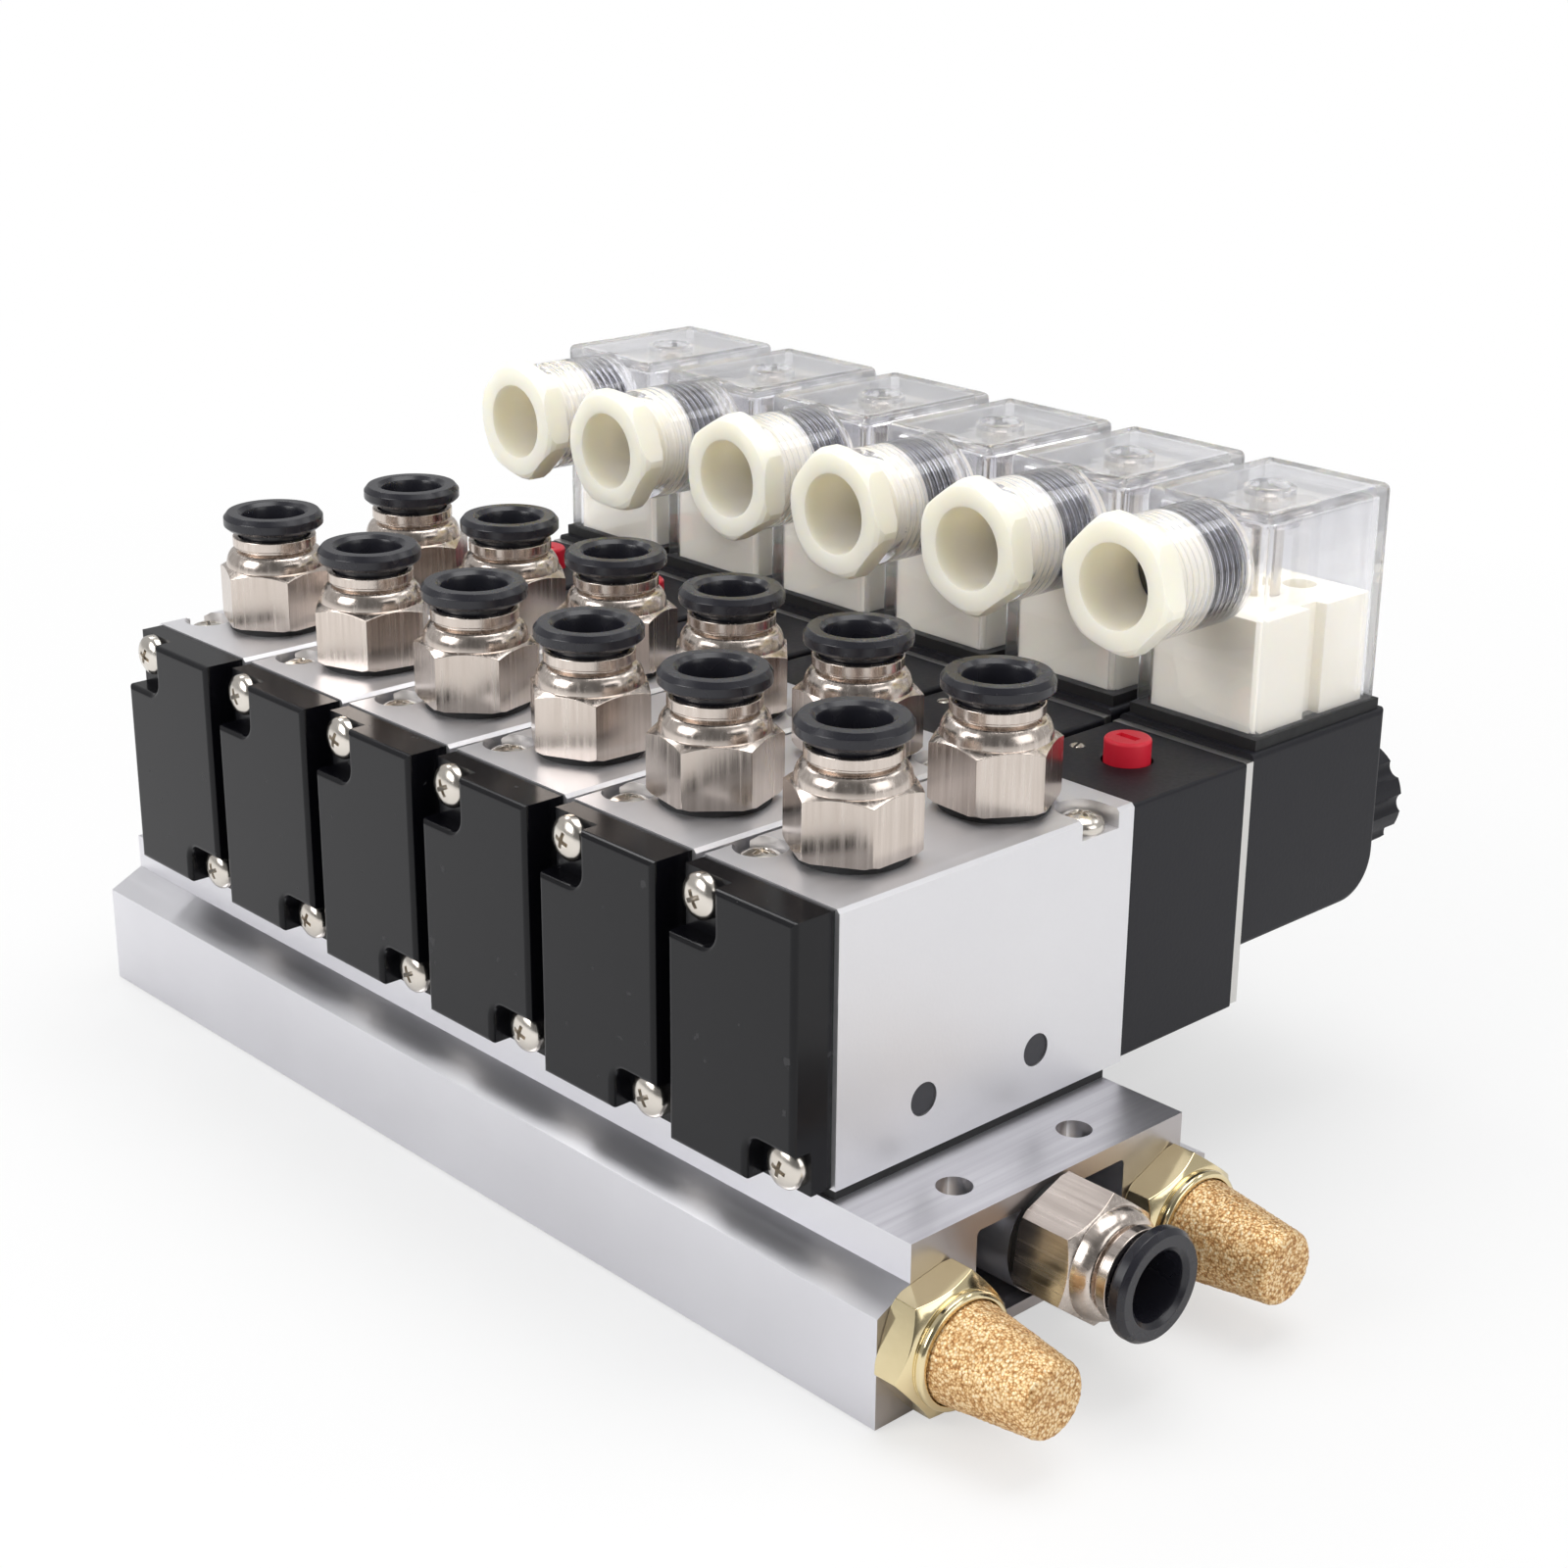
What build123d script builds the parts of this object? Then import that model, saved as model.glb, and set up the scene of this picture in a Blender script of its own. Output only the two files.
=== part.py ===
from build123d import *
import os

# Pneumatic valve island: six solenoid valves side by side on one extruded manifold.
# X runs along the manifold, Y from the end covers to the coils, Z up. Millimetres.
# The origin is on the deck, at the middle of the four mounting holes.
os.makedirs("parts", exist_ok=True)

# Row of valves
valve_count = 6
valve_gap = 1.0
running_gap = 0.3

# Manifold extrusion, drawn as one half and mirrored
manifold_height = 21.0
end_margin_near = 12.4
end_margin_far = 9.6
lip_bottom = 16.2
lip_reach = 2.9
flange_top = 13.8
flange_reach = 7.8
block_reach = 7.4
web_bottom = 5.1
web_thick = 1.5
deck_thick = 2.4
supply_height = 13.6
supply_wall = 2.3
exhaust_height = 9.1
exhaust_reach = 3.7
foot_round = 3.5
cavity_round = 0.7
supply_passage_r = 3.0
exhaust_passage_r = 2.5
exhaust_passage_wall = 6.0
mount_hole_r = 2.15
mount_hole_inset = 5.8
mount_hole_wall = 2.3
port_plug_length = 8.0
plug_key_across = 5.0
plug_key_depth = 4.0

# Pipe thread shared by every port, and the seat that takes it
thread_r = 4.85
seat_clearance = 0.05
thread_length = 7.0

# Valve body
gasket_thick = 1.0
body_width = 22.0
body_height = 33.5
body_length = 47.8
body_shift = 1.9
bore_lift = 0.55
bore_r = 5.9
work_port_y = (-9.5, 13.5)
work_port_depth = 9.0
passage_r = 3.0
body_edge = 0.45
side_plug_y = (-8.4, 10.2)
side_plug_height = 6.7
side_plug_r = 2.0
side_plug_length = 3.0
side_plug_sink = 0.2

# Screws
screw_r = 1.5
screw_head_r = 2.75
screw_head_height = 2.0
screw_side_wall = 3.0
screw_front_wall = 6.0
screw_rear_wall = 5.9
screw_sink = 2.4
screw_bite = 5.5
head_clearance = 0.45

# Spool
land_r = bore_r - running_gap
stem_r = 3.2
land_width = 4.2
land_end = 4.0
land_y = (-5.4, 1.8, 9.0)
spool_stroke = 3.0
spool_end_gap = 1.0

# End cover
cover_thick = 5.8
cover_side_gap = 0.7
cover_end_gap = 0.2
cover_flange = 3.0
cover_screw_side = 3.3
cover_screw_end = 2.75
notch_width = 7.7
notch_upper = 7.35
notch_lower = 5.55
notch_round = 2.2
cover_edge = 0.7
spring_pocket_r = 5.0
spring_pocket_depth = 3.6
cover_screw_bite = 2.7

# Pilot valve and manual override
pilot_length = 21.4
pilot_side_gap = 0.2
pilot_end_gap = 0.3
pilot_edge = 0.5
override_reach = 11.5
override_r = 2.95
override_proud = 3.0
override_stroke = 2.0
override_well = 7.0
override_foot_gap = 0.4
override_slot = (3.2, 1.1, 0.9)
plate_thick = 1.3
plate_drop = 0.6

# Solenoid
coil_side_gap = 0.2
coil_length = 27.5
coil_height = 25.7
coil_corner = 6.0
coil_edge = 0.8
coil_top_gap = 0.8
tube_r = 4.5
tube_wall = 0.6
tube_start = 6.0
tube_proud = 8.0
armature_length = 16.0
armature_stroke = 0.8
armature_rest = 1.5
coil_nut_r = 7.5
coil_nut_length = 10.5
coil_nut_lobes = 10
coil_nut_scallop = 1.5

# Plug connector
connector_front_gap = 1.4
connector_rear_gap = 1.2
connector_side_gap = 1.2
connector_height = 28.4
connector_wall = 1.5
connector_edge = 1.0
connector_gasket_thick = 1.4
gasket_overhang = 0.3
neck_r = 7.8
neck_length = 13.2
neck_wall = 1.2
well_r = 2.6
well_depth = 3.4
terminal_height = 14.4
terminal_clearance = 0.4
terminal_groove = (1.6, 3.4)
terminal_pocket_r = 2.2
terminal_pocket_depth = 5.0
terminal_pocket_y = 6.6
connector_screw_head_r = 2.3
connector_screw_head = 1.6
connector_screw_bite = 5.0

# Cable gland, screwed in to a slightly different depth on each valve
gland_across = 15.6
gland_head = 3.7
gland_bore_r = 5.2
gland_thread_length = 7.2
gland_out = (0.9, 2.5, 0.2, 2.2, 1.3, 0.2)
gland_turn = (14, 26, 2, 20, 8, 17)
grommet_length = 4.0
grommet_hole_r = 3.0

# Push-in fitting, drawn standing on its seat
fitting_across = 14.0
o_ring_thick = 0.9
hex_height = 7.8
hex_bevel = 1.1
shoulder_r = 6.7
shoulder_height = 2.3
groove_r = 5.4
groove_height = 0.5
collar_r = 5.65
collar_height = 1.4
ring_r = 6.75
ring_thick = 2.3
ring_bevel = 0.5
ring_neck_r = 4.65
ring_taper = 1.0
ring_foot_r = 5.4
grip_floor = 7.5
ring_neck_length = 5.0
ring_stroke = 0.9
ring_stop_gap = 0.1
tube_hole_r = 4.1
fitting_bore_r = 3.0
tube_stop = 2.6
front_turn = (38, 20, 44, 26, 50, 32)
rear_turn = (12, 30, 52, 18, 40, 57)
supply_turn = 22

# Silencer
silencer_across = 15.0
silencer_hex = 4.6
silencer_flange_r = 6.9
silencer_flange = 1.3
cone_root_r = 6.1
cone_tip_r = 4.5
cone_length = 13.0
cone_round = 1.0
cone_wall = 2.2
cone_seat = 2.0
silencer_turn = (10, 22)

# Places along the row and across it that follow from the sizes above
pitch = body_width + valve_gap
row_length = (valve_count - 1) * pitch + body_width
row_middle = (end_margin_far - end_margin_near) / 2
station_x = [row_middle + (i - (valve_count - 1) / 2) * pitch for i in range(valve_count)]
near_end = row_middle + row_length / 2 + end_margin_near
far_end = row_middle - row_length / 2 - end_margin_far
manifold_length = near_end - far_end
body_front = body_shift - body_length / 2
body_rear = body_front + body_length
exhaust_passage_y = -body_front - exhaust_passage_wall
exhaust_y = exhaust_passage_y + exhaust_reach
deck_half = exhaust_y + lip_reach
flange_half = exhaust_y + flange_reach
block_inner = exhaust_y - block_reach
mount_hole_y = block_inner - mount_hole_wall
screw_x = body_width / 2 - screw_side_wall
screw_front_y = body_front + screw_front_wall
screw_rear_y = body_rear - screw_rear_wall
pilot_rear = body_rear + pilot_length
override_y = body_rear + override_reach
coil_front = pilot_rear + plate_thick
coil_rear = coil_front + coil_length
connector_front = coil_front + connector_front_gap
connector_length = coil_rear - connector_rear_gap - connector_front
connector_middle = connector_front + connector_length / 2

# Heights that follow from them
deck = 0.0
underside = deck - manifold_height
supply_z = underside + supply_height
exhaust_z = underside + exhaust_height
body_bottom = deck + gasket_thick
body_top = body_bottom + body_height
body_middle = body_bottom + body_height / 2
axis_height = body_middle + bore_lift
pilot_height = body_height - 2 * pilot_end_gap
pilot_bottom = body_middle - pilot_height / 2
pilot_top = pilot_bottom + pilot_height
coil_top = pilot_top + coil_top_gap
coil_bottom = coil_top - coil_height
connector_bottom = coil_top + connector_gasket_thick
neck_z = connector_bottom + connector_height - neck_r

# Widths and radii shared by pieces that fit together
seat_r = thread_r + seat_clearance
cover_width = body_width - 2 * cover_side_gap
cover_height = body_height - 2 * cover_end_gap
cover_screw_x = cover_width / 2 - cover_screw_side
cover_screw_z = cover_height / 2 - cover_screw_end
pilot_width = body_width - 2 * pilot_side_gap
coil_width = body_width - 2 * coil_side_gap
connector_width = body_width - 2 * connector_side_gap
neck_thread_r = neck_r - neck_wall

# Manifold: half the section is drawn, with one exhaust gallery, one cavity and the supply
# tube, then it is extruded, mirrored and bored for the supply
cavity_bottom = web_bottom + web_thick
cavity_top = manifold_height - deck_thick
section_plane = Plane((far_end, 0, underside), x_dir=(0, 1, 0), z_dir=(1, 0, 0))
with BuildPart() as manifold:
    with BuildSketch(section_plane) as half_section:
        with BuildLine():
            Polyline(
                (0, web_bottom),
                (block_inner, web_bottom),
                (block_inner, 0),
                (flange_half, 0),
                (flange_half, flange_top),
                (deck_half, lip_bottom),
                (deck_half, manifold_height),
                (0, manifold_height),
                close=True,
            )
        make_face()
        foot = half_section.vertices().filter_by(lambda v: abs(v.X - block_inner) < 0.01 and abs(v.Y) < 0.01)
        fillet(foot, foot_round)
        with Locations((0, (cavity_bottom + cavity_top) / 2)):
            RectangleRounded(2 * block_inner, cavity_top - cavity_bottom, cavity_round, mode=Mode.SUBTRACT)
        with Locations((0, supply_height)):
            Circle(seat_r + supply_wall)
        with Locations((exhaust_y, exhaust_height)):
            Circle(seat_r, mode=Mode.SUBTRACT)
    extrude(amount=manifold_length)
    mirror(about=Plane.XZ)
    with BuildSketch(section_plane):
        with Locations((0, supply_height)):
            Circle(seat_r)
    extrude(amount=manifold_length, mode=Mode.SUBTRACT)
    for end_x in (near_end - mount_hole_inset, far_end + mount_hole_inset):
        with Locations((end_x, mount_hole_y, deck), (end_x, -mount_hole_y, deck)):
            Hole(mount_hole_r, depth=manifold_height)
    for x in station_x:
        with Locations((x, 0, deck)):
            Hole(supply_passage_r, depth=deck - supply_z)
        with Locations((x, exhaust_passage_y, deck), (x, -exhaust_passage_y, deck)):
            Hole(exhaust_passage_r, depth=deck - exhaust_z)
        with Locations((x - screw_x, screw_front_y, deck), (x + screw_x, screw_rear_y, deck)):
            Hole(screw_r + seat_clearance, depth=screw_bite + seat_clearance)
manifold.part.label = "manifold"
export_step(manifold.part, "parts/manifold.step")

# Plugs with a hexagon socket close the three galleries at the far end
with BuildPart() as port_plugs:
    for y, z in ((0, supply_height), (exhaust_y, exhaust_height), (-exhaust_y, exhaust_height)):
        with BuildSketch(section_plane):
            with Locations((y, z)):
                Circle(thread_r)
        extrude(amount=port_plug_length)
        with BuildSketch(section_plane):
            with Locations((y, z)):
                RegularPolygon(plug_key_across / 2, 6, major_radius=False)
        extrude(amount=plug_key_depth, mode=Mode.SUBTRACT)
port_plugs.part.label = "port_plugs"
export_step(port_plugs.part, "parts/port_plugs.step")

# Gasket between each valve and the deck, with the five openings
with BuildPart() as one_gasket:
    with BuildSketch(Plane.XY.offset(deck)):
        with Locations((0, (body_front + deck_half) / 2)):
            Rectangle(body_width, deck_half - body_front)
        Circle(supply_passage_r, mode=Mode.SUBTRACT)
        with Locations((0, exhaust_passage_y), (0, -exhaust_passage_y)):
            Circle(exhaust_passage_r, mode=Mode.SUBTRACT)
        with Locations((-screw_x, screw_front_y), (screw_x, screw_rear_y)):
            Circle(screw_r + seat_clearance, mode=Mode.SUBTRACT)
    extrude(amount=gasket_thick)
with BuildPart() as base_gaskets:
    with Locations([(x, 0, 0) for x in station_x]):
        add(one_gasket.part)
base_gaskets.part.label = "base_gaskets"
export_step(base_gaskets.part, "parts/base_gaskets.step")

# Valve body: a drawn block, bored through for the spool and drilled from above and below
cover_screw_axes = (
    (-cover_screw_x, body_middle + cover_screw_z),
    (cover_screw_x, body_middle - cover_screw_z),
)
with BuildPart() as one_body:
    with BuildSketch(Plane.XY.offset(body_bottom)):
        with Locations((0, body_front + body_length / 2)):
            Rectangle(body_width, body_length)
    extrude(amount=body_height)
    long_edges = one_body.edges().filter_by(Axis.Y)
    chamfer(long_edges.group_by(Axis.Z)[-1], body_edge)
    with BuildSketch(Plane.XZ.offset(-body_rear)):
        with Locations((0, axis_height)):
            Circle(bore_r)
    extrude(amount=body_length, mode=Mode.SUBTRACT)
    for y in work_port_y:
        with Locations((0, y, body_top)):
            Hole(seat_r, depth=work_port_depth)
            Hole(passage_r, depth=body_top - axis_height)
    with BuildSketch(Plane.XY.offset(body_bottom)):
        Circle(supply_passage_r)
        with Locations((0, exhaust_passage_y), (0, -exhaust_passage_y)):
            Circle(exhaust_passage_r)
    extrude(amount=axis_height - body_bottom, mode=Mode.SUBTRACT)
    with Locations((-screw_x, screw_front_y, body_top), (screw_x, screw_rear_y, body_top)):
        CounterBoreHole(screw_r + seat_clearance, screw_head_r + head_clearance, screw_sink, body_height)
    with BuildSketch(Plane.XY.offset(body_top - screw_sink)):
        notch_reach = body_width / 2 - screw_x
        with Locations((screw_x + notch_reach / 2, screw_rear_y)):
            Rectangle(notch_reach, 2 * (screw_head_r + head_clearance))
    extrude(amount=screw_sink, mode=Mode.SUBTRACT)
    with BuildSketch(Plane.YZ.offset(body_width / 2)):
        with Locations([(y, body_bottom + side_plug_height) for y in side_plug_y]):
            Circle(side_plug_r + seat_clearance)
    extrude(amount=-side_plug_length, mode=Mode.SUBTRACT)
    with BuildSketch(Plane.XZ.offset(-body_front)):
        with Locations(*cover_screw_axes):
            Circle(screw_r + seat_clearance)
    extrude(amount=-cover_screw_bite, mode=Mode.SUBTRACT)
for number, x in enumerate(station_x, 1):
    with BuildPart() as valve_body:
        with Locations((x, 0, 0)):
            add(one_body.part)
    valve_body.part.label = f"valve_body_{number}"
    export_step(valve_body.part, f"parts/{valve_body.part.label}.step")

# Small plugs that close the cross drillings in the side of each body
with BuildPart() as side_plugs:
    for x in station_x:
        with BuildSketch(Plane.YZ.offset(x + body_width / 2 - side_plug_sink)):
            with Locations([(y, body_bottom + side_plug_height) for y in side_plug_y]):
                Circle(side_plug_r)
        extrude(amount=side_plug_sink - side_plug_length)
side_plugs.part.label = "side_plugs"
export_step(side_plugs.part, "parts/side_plugs.step")

# Spool: five sealing lands on a turned stem
with BuildPart() as one_spool:
    spool_front = body_front + spool_end_gap
    spool_rear = body_rear - spool_end_gap - spool_stroke
    with BuildSketch(Plane.XZ.offset(-spool_front)):
        with Locations((0, axis_height)):
            Circle(stem_r)
    extrude(amount=spool_front - spool_rear)
    for y in (spool_front + land_end, *land_y, spool_rear - land_end):
        with BuildSketch(Plane.XZ.offset(-(y - land_width / 2))):
            with Locations((0, axis_height)):
                Circle(land_r)
        extrude(amount=-land_width)
for number, x in enumerate(station_x, 1):
    with BuildPart() as spool:
        with Locations((x, 0, 0)):
            add(one_spool.part)
    spool.part.label = f"spool_{number}"
    export_step(spool.part, f"parts/{spool.part.label}.step")

# End cover: moulded block, cut back to a flange at two corners where its screws sit
with BuildPart() as one_cover:
    with BuildSketch(Plane.XZ.offset(-body_front)):
        with Locations((0, body_middle)):
            Rectangle(cover_width, cover_height)
    extrude(amount=cover_thick)
    with BuildSketch(Plane.XZ.offset(cover_flange - body_front)) as notches:
        half_x = cover_width / 2
        half_z = cover_height / 2
        with Locations((-half_x, body_middle + half_z)):
            Rectangle(2 * notch_width, 2 * notch_upper)
        with Locations((half_x, body_middle - half_z)):
            Rectangle(2 * notch_width, 2 * notch_lower)
        inner = notches.vertices().filter_by(lambda v: abs(v.X) < half_x and abs(v.Y - body_middle) < half_z)
        fillet(inner, notch_round)
    extrude(amount=cover_thick, mode=Mode.SUBTRACT)
    fillet(one_cover.faces().filter_by(Axis.Y).sort_by(Axis.Y)[0].edges(), cover_edge)
    with BuildSketch(Plane.XZ.offset(-body_front)):
        with Locations(*cover_screw_axes):
            Circle(screw_r + seat_clearance)
    extrude(amount=cover_flange, mode=Mode.SUBTRACT)
    with BuildSketch(Plane.XZ.offset(-body_front)):
        with Locations((0, axis_height)):
            Circle(spring_pocket_r)
    extrude(amount=spring_pocket_depth, mode=Mode.SUBTRACT)
with BuildPart() as end_covers:
    with Locations([(x, 0, 0) for x in station_x]):
        add(one_cover.part)
end_covers.part.label = "end_covers"
export_step(end_covers.part, "parts/end_covers.step")

# Pan-head screws: two hold each end cover, two hold each valve to the manifold
with BuildPart() as cover_screws:
    for x in station_x:
        for screw_x_offset, screw_z in cover_screw_axes:
            with BuildSketch(Plane.XZ.offset(cover_flange - body_front)):
                with Locations((x + screw_x_offset, screw_z)):
                    Circle(screw_head_r)
            extrude(amount=screw_head_height)
            with BuildSketch(Plane.XZ.offset(cover_flange - body_front)):
                with Locations((x + screw_x_offset, screw_z)):
                    Circle(screw_r)
            extrude(amount=seat_clearance - cover_flange - cover_screw_bite)
cover_screws.part.label = "cover_screws"
export_step(cover_screws.part, "parts/cover_screws.step")

with BuildPart() as mounting_screws:
    for x in station_x:
        for screw_at in ((x - screw_x, screw_front_y), (x + screw_x, screw_rear_y)):
            with BuildSketch(Plane.XY.offset(body_top - screw_sink)):
                with Locations(screw_at):
                    Circle(screw_head_r)
            extrude(amount=screw_head_height)
            with BuildSketch(Plane.XY.offset(body_top - screw_sink)):
                with Locations(screw_at):
                    Circle(screw_r)
            extrude(amount=-(body_height - screw_sink + gasket_thick + screw_bite))
mounting_screws.part.label = "mounting_screws"
export_step(mounting_screws.part, "parts/mounting_screws.step")

# Pilot body: block with a well for the override button and a bore for the armature tube
override_guide = override_r + running_gap
with BuildPart() as one_pilot:
    with BuildSketch(Plane.XZ.offset(-body_rear)):
        with Locations((0, pilot_bottom + pilot_height / 2)):
            Rectangle(pilot_width, pilot_height)
    extrude(amount=-pilot_length)
    fillet(one_pilot.edges().filter_by(Axis.Y), pilot_edge)
    with Locations((0, override_y, pilot_top)):
        Hole(override_guide, depth=override_well)
    with BuildSketch(Plane.XZ.offset(-pilot_rear)):
        with Locations((0, axis_height)):
            Circle(tube_r + seat_clearance)
    extrude(amount=tube_start, mode=Mode.SUBTRACT)
with BuildPart() as pilot_bodies:
    with Locations([(x, 0, 0) for x in station_x]):
        add(one_pilot.part)
pilot_bodies.part.label = "pilot_bodies"
export_step(pilot_bodies.part, "parts/pilot_bodies.step")

# Manual override: a push button with a screwdriver slot
with BuildPart() as one_override:
    override_bottom = pilot_top - override_well + override_stroke + override_foot_gap
    with BuildSketch(Plane.XY.offset(override_bottom)):
        with Locations((0, override_y)):
            Circle(override_r)
    extrude(amount=pilot_top + override_proud - override_bottom)
    fillet(one_override.edges().group_by(Axis.Z)[-1], body_edge)
    with Locations((0, override_y, pilot_top + override_proud)):
        slot_length, slot_width, slot_depth = override_slot
        Box(slot_length, slot_width, 2 * slot_depth, mode=Mode.SUBTRACT)
for number, x in enumerate(station_x, 1):
    with BuildPart() as override_button:
        with Locations((x, 0, 0)):
            add(one_override.part)
    override_button.part.label = f"override_button_{number}"
    export_step(override_button.part, f"parts/{override_button.part.label}.step")

# Steel pole plate between the pilot body and the coil
with BuildPart() as pilot_plates:
    plate_height = pilot_height - plate_drop
    for x in station_x:
        with BuildSketch(Plane.XZ.offset(-pilot_rear)):
            with Locations((x, pilot_bottom + plate_drop + plate_height / 2)):
                Rectangle(pilot_width, plate_height)
            with Locations((x, axis_height)):
                Circle(tube_r + seat_clearance, mode=Mode.SUBTRACT)
        extrude(amount=-plate_thick)
pilot_plates.part.label = "pilot_plates"
export_step(pilot_plates.part, "parts/pilot_plates.step")

# Armature tube with a fixed pole in its rear half, and the armature that slides up to the pole
tube_front = pilot_rear - tube_start + seat_clearance
tube_rear = coil_rear + tube_proud
pole_face = tube_front + armature_rest + armature_length + armature_stroke
with BuildPart() as armature_tubes:
    for x in station_x:
        with BuildSketch(Plane.XZ.offset(-tube_front)):
            with Locations((x, axis_height)):
                Circle(tube_r)
        extrude(amount=tube_front - tube_rear)
        with BuildSketch(Plane.XZ.offset(-tube_front)):
            with Locations((x, axis_height)):
                Circle(tube_r - tube_wall)
        extrude(amount=tube_front - pole_face, mode=Mode.SUBTRACT)
armature_tubes.part.label = "armature_tubes"
export_step(armature_tubes.part, "parts/armature_tubes.step")

for number, x in enumerate(station_x, 1):
    with BuildPart() as armature:
        with BuildSketch(Plane.XZ.offset(-(tube_front + armature_rest))):
            with Locations((x, axis_height)):
                Circle(tube_r - tube_wall - running_gap)
        extrude(amount=-armature_length)
    armature.part.label = f"armature_{number}"
    export_step(armature.part, f"parts/{armature.part.label}.step")

# Coil: moulded block with a well rounded lower rear edge
with BuildPart() as one_coil:
    with BuildSketch(Plane.XZ.offset(-coil_front)):
        with Locations((0, coil_bottom + coil_height / 2)):
            Rectangle(coil_width, coil_height)
    extrude(amount=-coil_length)
    rear_edges = one_coil.edges().filter_by(Axis.X).group_by(Axis.Y)[-1]
    fillet(rear_edges.sort_by(Axis.Z)[0], coil_corner)
    fillet(one_coil.edges().filter_by(Axis.Y), coil_edge)
    with BuildSketch(Plane.XZ.offset(-coil_front)):
        with Locations((0, axis_height)):
            Circle(tube_r + seat_clearance)
    extrude(amount=-coil_length, mode=Mode.SUBTRACT)
    with Locations((0, connector_middle, coil_top)):
        Hole(screw_r + seat_clearance, depth=connector_screw_bite + seat_clearance)
with BuildPart() as coils:
    with Locations([(x, 0, 0) for x in station_x]):
        add(one_coil.part)
coils.part.label = "coils"
export_step(coils.part, "parts/coils.step")

# Lobed cap nut that clamps the coil on its tube
with BuildPart() as one_nut:
    with BuildSketch(Plane.XZ.offset(-coil_rear)):
        with Locations((0, axis_height)):
            Circle(coil_nut_r)
            with PolarLocations(coil_nut_r + coil_nut_scallop / 2, coil_nut_lobes):
                Circle(coil_nut_scallop, mode=Mode.SUBTRACT)
    extrude(amount=-coil_nut_length)
    with BuildSketch(Plane.XZ.offset(-coil_rear)):
        with Locations((0, axis_height)):
            Circle(tube_r + seat_clearance)
    extrude(amount=-(tube_proud + seat_clearance), mode=Mode.SUBTRACT)
with BuildPart() as coil_nuts:
    with Locations([(x, 0, 0) for x in station_x]):
        add(one_nut.part)
coil_nuts.part.label = "coil_nuts"
export_step(coil_nuts.part, "parts/coil_nuts.step")

# Gasket under the plug connector, open in the middle for the coil's contacts
inside_width = connector_width - 2 * connector_wall
inside_length = connector_length - 2 * connector_wall
block_width = inside_width - 2 * terminal_clearance
block_length = inside_length - 2 * terminal_clearance
with BuildPart() as connector_gaskets:
    for x in station_x:
        with BuildSketch(Plane.XY.offset(coil_top)):
            with Locations((x, connector_middle)):
                Rectangle(connector_width + 2 * gasket_overhang, connector_length + 2 * gasket_overhang)
                Circle(screw_r + seat_clearance, mode=Mode.SUBTRACT)
        extrude(amount=connector_gasket_thick)
connector_gaskets.part.label = "connector_gaskets"
export_step(connector_gaskets.part, "parts/connector_gaskets.step")

# Clear connector housing: open-bottomed box with a screw well and a tapped neck
neck_front = connector_front - neck_length
with BuildPart() as one_housing:
    with BuildSketch(Plane.XY.offset(connector_bottom)):
        with Locations((0, connector_middle)):
            Rectangle(connector_width, connector_length)
    extrude(amount=connector_height)
    fillet(one_housing.edges().filter_by(Axis.Z), connector_edge)
    fillet(one_housing.edges().group_by(Axis.Z)[-1], connector_edge)
    with BuildSketch(Plane.XZ.offset(-connector_front)):
        with Locations((0, neck_z)):
            Circle(neck_r)
    extrude(amount=neck_length)
    with BuildSketch(Plane.XY.offset(connector_bottom)):
        with Locations((0, connector_middle)):
            Rectangle(inside_width, inside_length)
    extrude(amount=connector_height - connector_wall, mode=Mode.SUBTRACT)
    with BuildSketch(Plane.XZ.offset(-neck_front)):
        with Locations((0, neck_z)):
            Circle(neck_thread_r)
    extrude(amount=-(neck_length + connector_wall), mode=Mode.SUBTRACT)
    with Locations((0, connector_middle, connector_bottom + connector_height - well_depth - connector_wall)):
        Cylinder(
            well_r + connector_wall / 2,
            well_depth + connector_wall / 2,
            align=(Align.CENTER, Align.CENTER, Align.MIN),
        )
    with Locations((0, connector_middle, connector_bottom + connector_height)):
        CounterBoreHole(screw_r + seat_clearance, well_r, well_depth, connector_height)
with BuildPart() as connector_housings:
    with Locations([(x, 0, 0) for x in station_x]):
        add(one_housing.part)
connector_housings.part.label = "connector_housings"
export_step(connector_housings.part, "parts/connector_housings.step")

# Terminal block inside the housing, grooved down both sides, with pockets for its clamp screws
with BuildPart() as one_block:
    with BuildSketch(Plane.XY.offset(connector_bottom)):
        groove_depth, groove_width = terminal_groove
        with Locations((0, connector_middle)):
            Rectangle(block_width, block_length)
            Circle(screw_r + seat_clearance, mode=Mode.SUBTRACT)
        with Locations((block_width / 2, connector_middle), (-block_width / 2, connector_middle)):
            Rectangle(2 * groove_depth, groove_width, mode=Mode.SUBTRACT)
    extrude(amount=terminal_height)
    with Locations((0, connector_middle - terminal_pocket_y, connector_bottom + terminal_height),
                   (0, connector_middle + terminal_pocket_y, connector_bottom + terminal_height)):
        Hole(terminal_pocket_r, depth=terminal_pocket_depth)
with BuildPart() as terminal_blocks:
    with Locations([(x, 0, 0) for x in station_x]):
        add(one_block.part)
terminal_blocks.part.label = "terminal_blocks"
export_step(terminal_blocks.part, "parts/terminal_blocks.step")

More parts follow.
